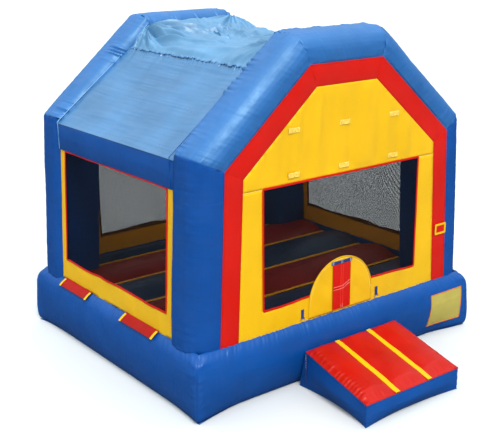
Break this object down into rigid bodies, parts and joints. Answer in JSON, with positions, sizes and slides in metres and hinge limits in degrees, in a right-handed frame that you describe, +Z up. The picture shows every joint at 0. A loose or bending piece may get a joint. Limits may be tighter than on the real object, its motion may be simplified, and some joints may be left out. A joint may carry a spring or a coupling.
{
  "type": "inflatable bounce house",
  "caption": "Blown-up play house with an open-topped bounce room, four columns, two arches, net windows, a slack roof, a slit door and a fold-up entry step.",
  "frame": {"origin": "centre of the base's underside, on the ground", "axes": "+Z up, -Y out of the entrance towards the step, +X to the right of someone who looks at the entrance"},
  "size_m": [4.572, 5.7965, 4.2],
  "materials": {
    "blue_vinyl": "coated PVC fabric, semi-gloss, blown up with fine puckers at the seams",
    "red_vinyl": "coated PVC fabric, semi-gloss",
    "yellow_vinyl": "coated PVC fabric, semi-gloss",
    "roof_vinyl": "light coated fabric, slack and folded",
    "net": "knotless safety net, matt",
    "webbing": "woven nylon webbing, matt",
    "patch": "plain sewn patch",
    "ring_metal": "bright plated wire and cast slider"
  },
  "bodies": {
    "house": {"back_gable_panel": "yellow_vinyl", "back_window_frame": "yellow_vinyl", "base_tube_back": "blue_vinyl", "base_tube_front": "blue_vinyl", "base_tube_left": "blue_vinyl", "base_tube_right": "blue_vinyl", "blower_sleeve": "blue_vinyl", "care_patch": "patch", "column_front_left": "blue_vinyl", "column_front_right": "blue_vinyl", "column_rear_left": "blue_vinyl", "column_rear_right": "blue_vinyl", "document_pocket": "yellow_vinyl", "door_header": "webbing", "door_patch": "yellow_vinyl", "eave_beam_left": "blue_vinyl", "eave_beam_right": "blue_vinyl", "floor_tube_1": "blue_vinyl", "floor_tube_2": "red_vinyl", "floor_tube_3": "blue_vinyl", "floor_tube_4": "red_vinyl", "floor_tube_5": "blue_vinyl", "front_arch_slope_left": "blue_vinyl", "front_arch_slope_right": "blue_vinyl", "front_arch_top": "blue_vinyl", "front_gable_panel": "yellow_vinyl", "front_window_frame": "yellow_vinyl", "ground_sheet": "blue_vinyl", "left_window_frame": "yellow_vinyl", "net_back": "net", "net_front": "net", "net_left": "net", "net_right": "net", "rear_arch_slope_left": "blue_vinyl", "rear_arch_slope_right": "blue_vinyl", "rear_arch_top": "blue_vinyl", "right_window_frame": "yellow_vinyl", "roof_slope_left": "roof_vinyl", "roof_slope_right": "roof_vinyl", "roof_top": "roof_vinyl", "tie_strap_left": "webbing", "tie_strap_right": "webbing", "trim_column_left": "red_vinyl", "trim_column_right": "red_vinyl", "trim_slope_left": "red_vinyl", "trim_slope_right": "red_vinyl", "trim_top": "red_vinyl"},
    "entry_step": {"step_body": "blue_vinyl", "step_deck": "red_vinyl", "step_stripe_left": "yellow_vinyl", "step_stripe_right": "yellow_vinyl", "step_strap": "webbing"},
    "left_leaf": {"door_leaf_left": "red_vinyl"},
    "right_leaf": {"door_leaf_right": "red_vinyl"},
    "left_ring": {"d_ring_left": "ring_metal"},
    "right_ring": {"d_ring_right": "ring_metal"},
    "rear_flap": {"deflation_flap_rear": "red_vinyl"},
    "front_flap": {"deflation_flap_front": "red_vinyl"},
    "rear_slider": {"zip_slider_rear": "ring_metal"},
    "front_slider": {"zip_slider_front": "ring_metal"}
  },
  "joints": [
    {"name": "step_fold", "type": "hinge", "parent": "house", "child": "entry_step", "pos_m": [0.015, -2.045, 0.485], "axis": [-1, 0, 0], "range_deg": [0, 85]},
    {"name": "left_leaf_swing", "type": "hinge", "parent": "house", "child": "left_leaf", "pos_m": [-0.186, -1.893, 0.825], "axis": [0, 0, -1], "range_deg": [0, 110]},
    {"name": "right_leaf_swing", "type": "hinge", "parent": "house", "child": "right_leaf", "pos_m": [0.106, -1.893, 0.825], "axis": [0, 0, 1], "range_deg": [0, 110]},
    {"name": "left_ring_swing", "type": "hinge", "parent": "house", "child": "left_ring", "pos_m": [-0.66, -1.8875, 0.842], "axis": [-1, 0, 0], "range_deg": [0, 150]},
    {"name": "right_ring_swing", "type": "hinge", "parent": "house", "child": "right_ring", "pos_m": [0.58, -1.8875, 0.842], "axis": [-1, 0, 0], "range_deg": [0, 150]},
    {"name": "rear_flap_lift", "type": "hinge", "parent": "house", "child": "rear_flap", "pos_m": [-2.174, 0.875, 0.814], "axis": [0, 1, 0], "range_deg": [0, 110]},
    {"name": "front_flap_lift", "type": "hinge", "parent": "house", "child": "front_flap", "pos_m": [-2.174, -0.7, 0.814], "axis": [0, 1, 0], "range_deg": [0, 110]},
    {"name": "rear_zip_travel", "type": "slide", "parent": "house", "child": "rear_slider", "axis": [0, -1, 0], "range_m": [0, 0.6]},
    {"name": "front_zip_travel", "type": "slide", "parent": "house", "child": "front_slider", "axis": [0, -1, 0], "range_m": [0, 0.6]}
  ]
}
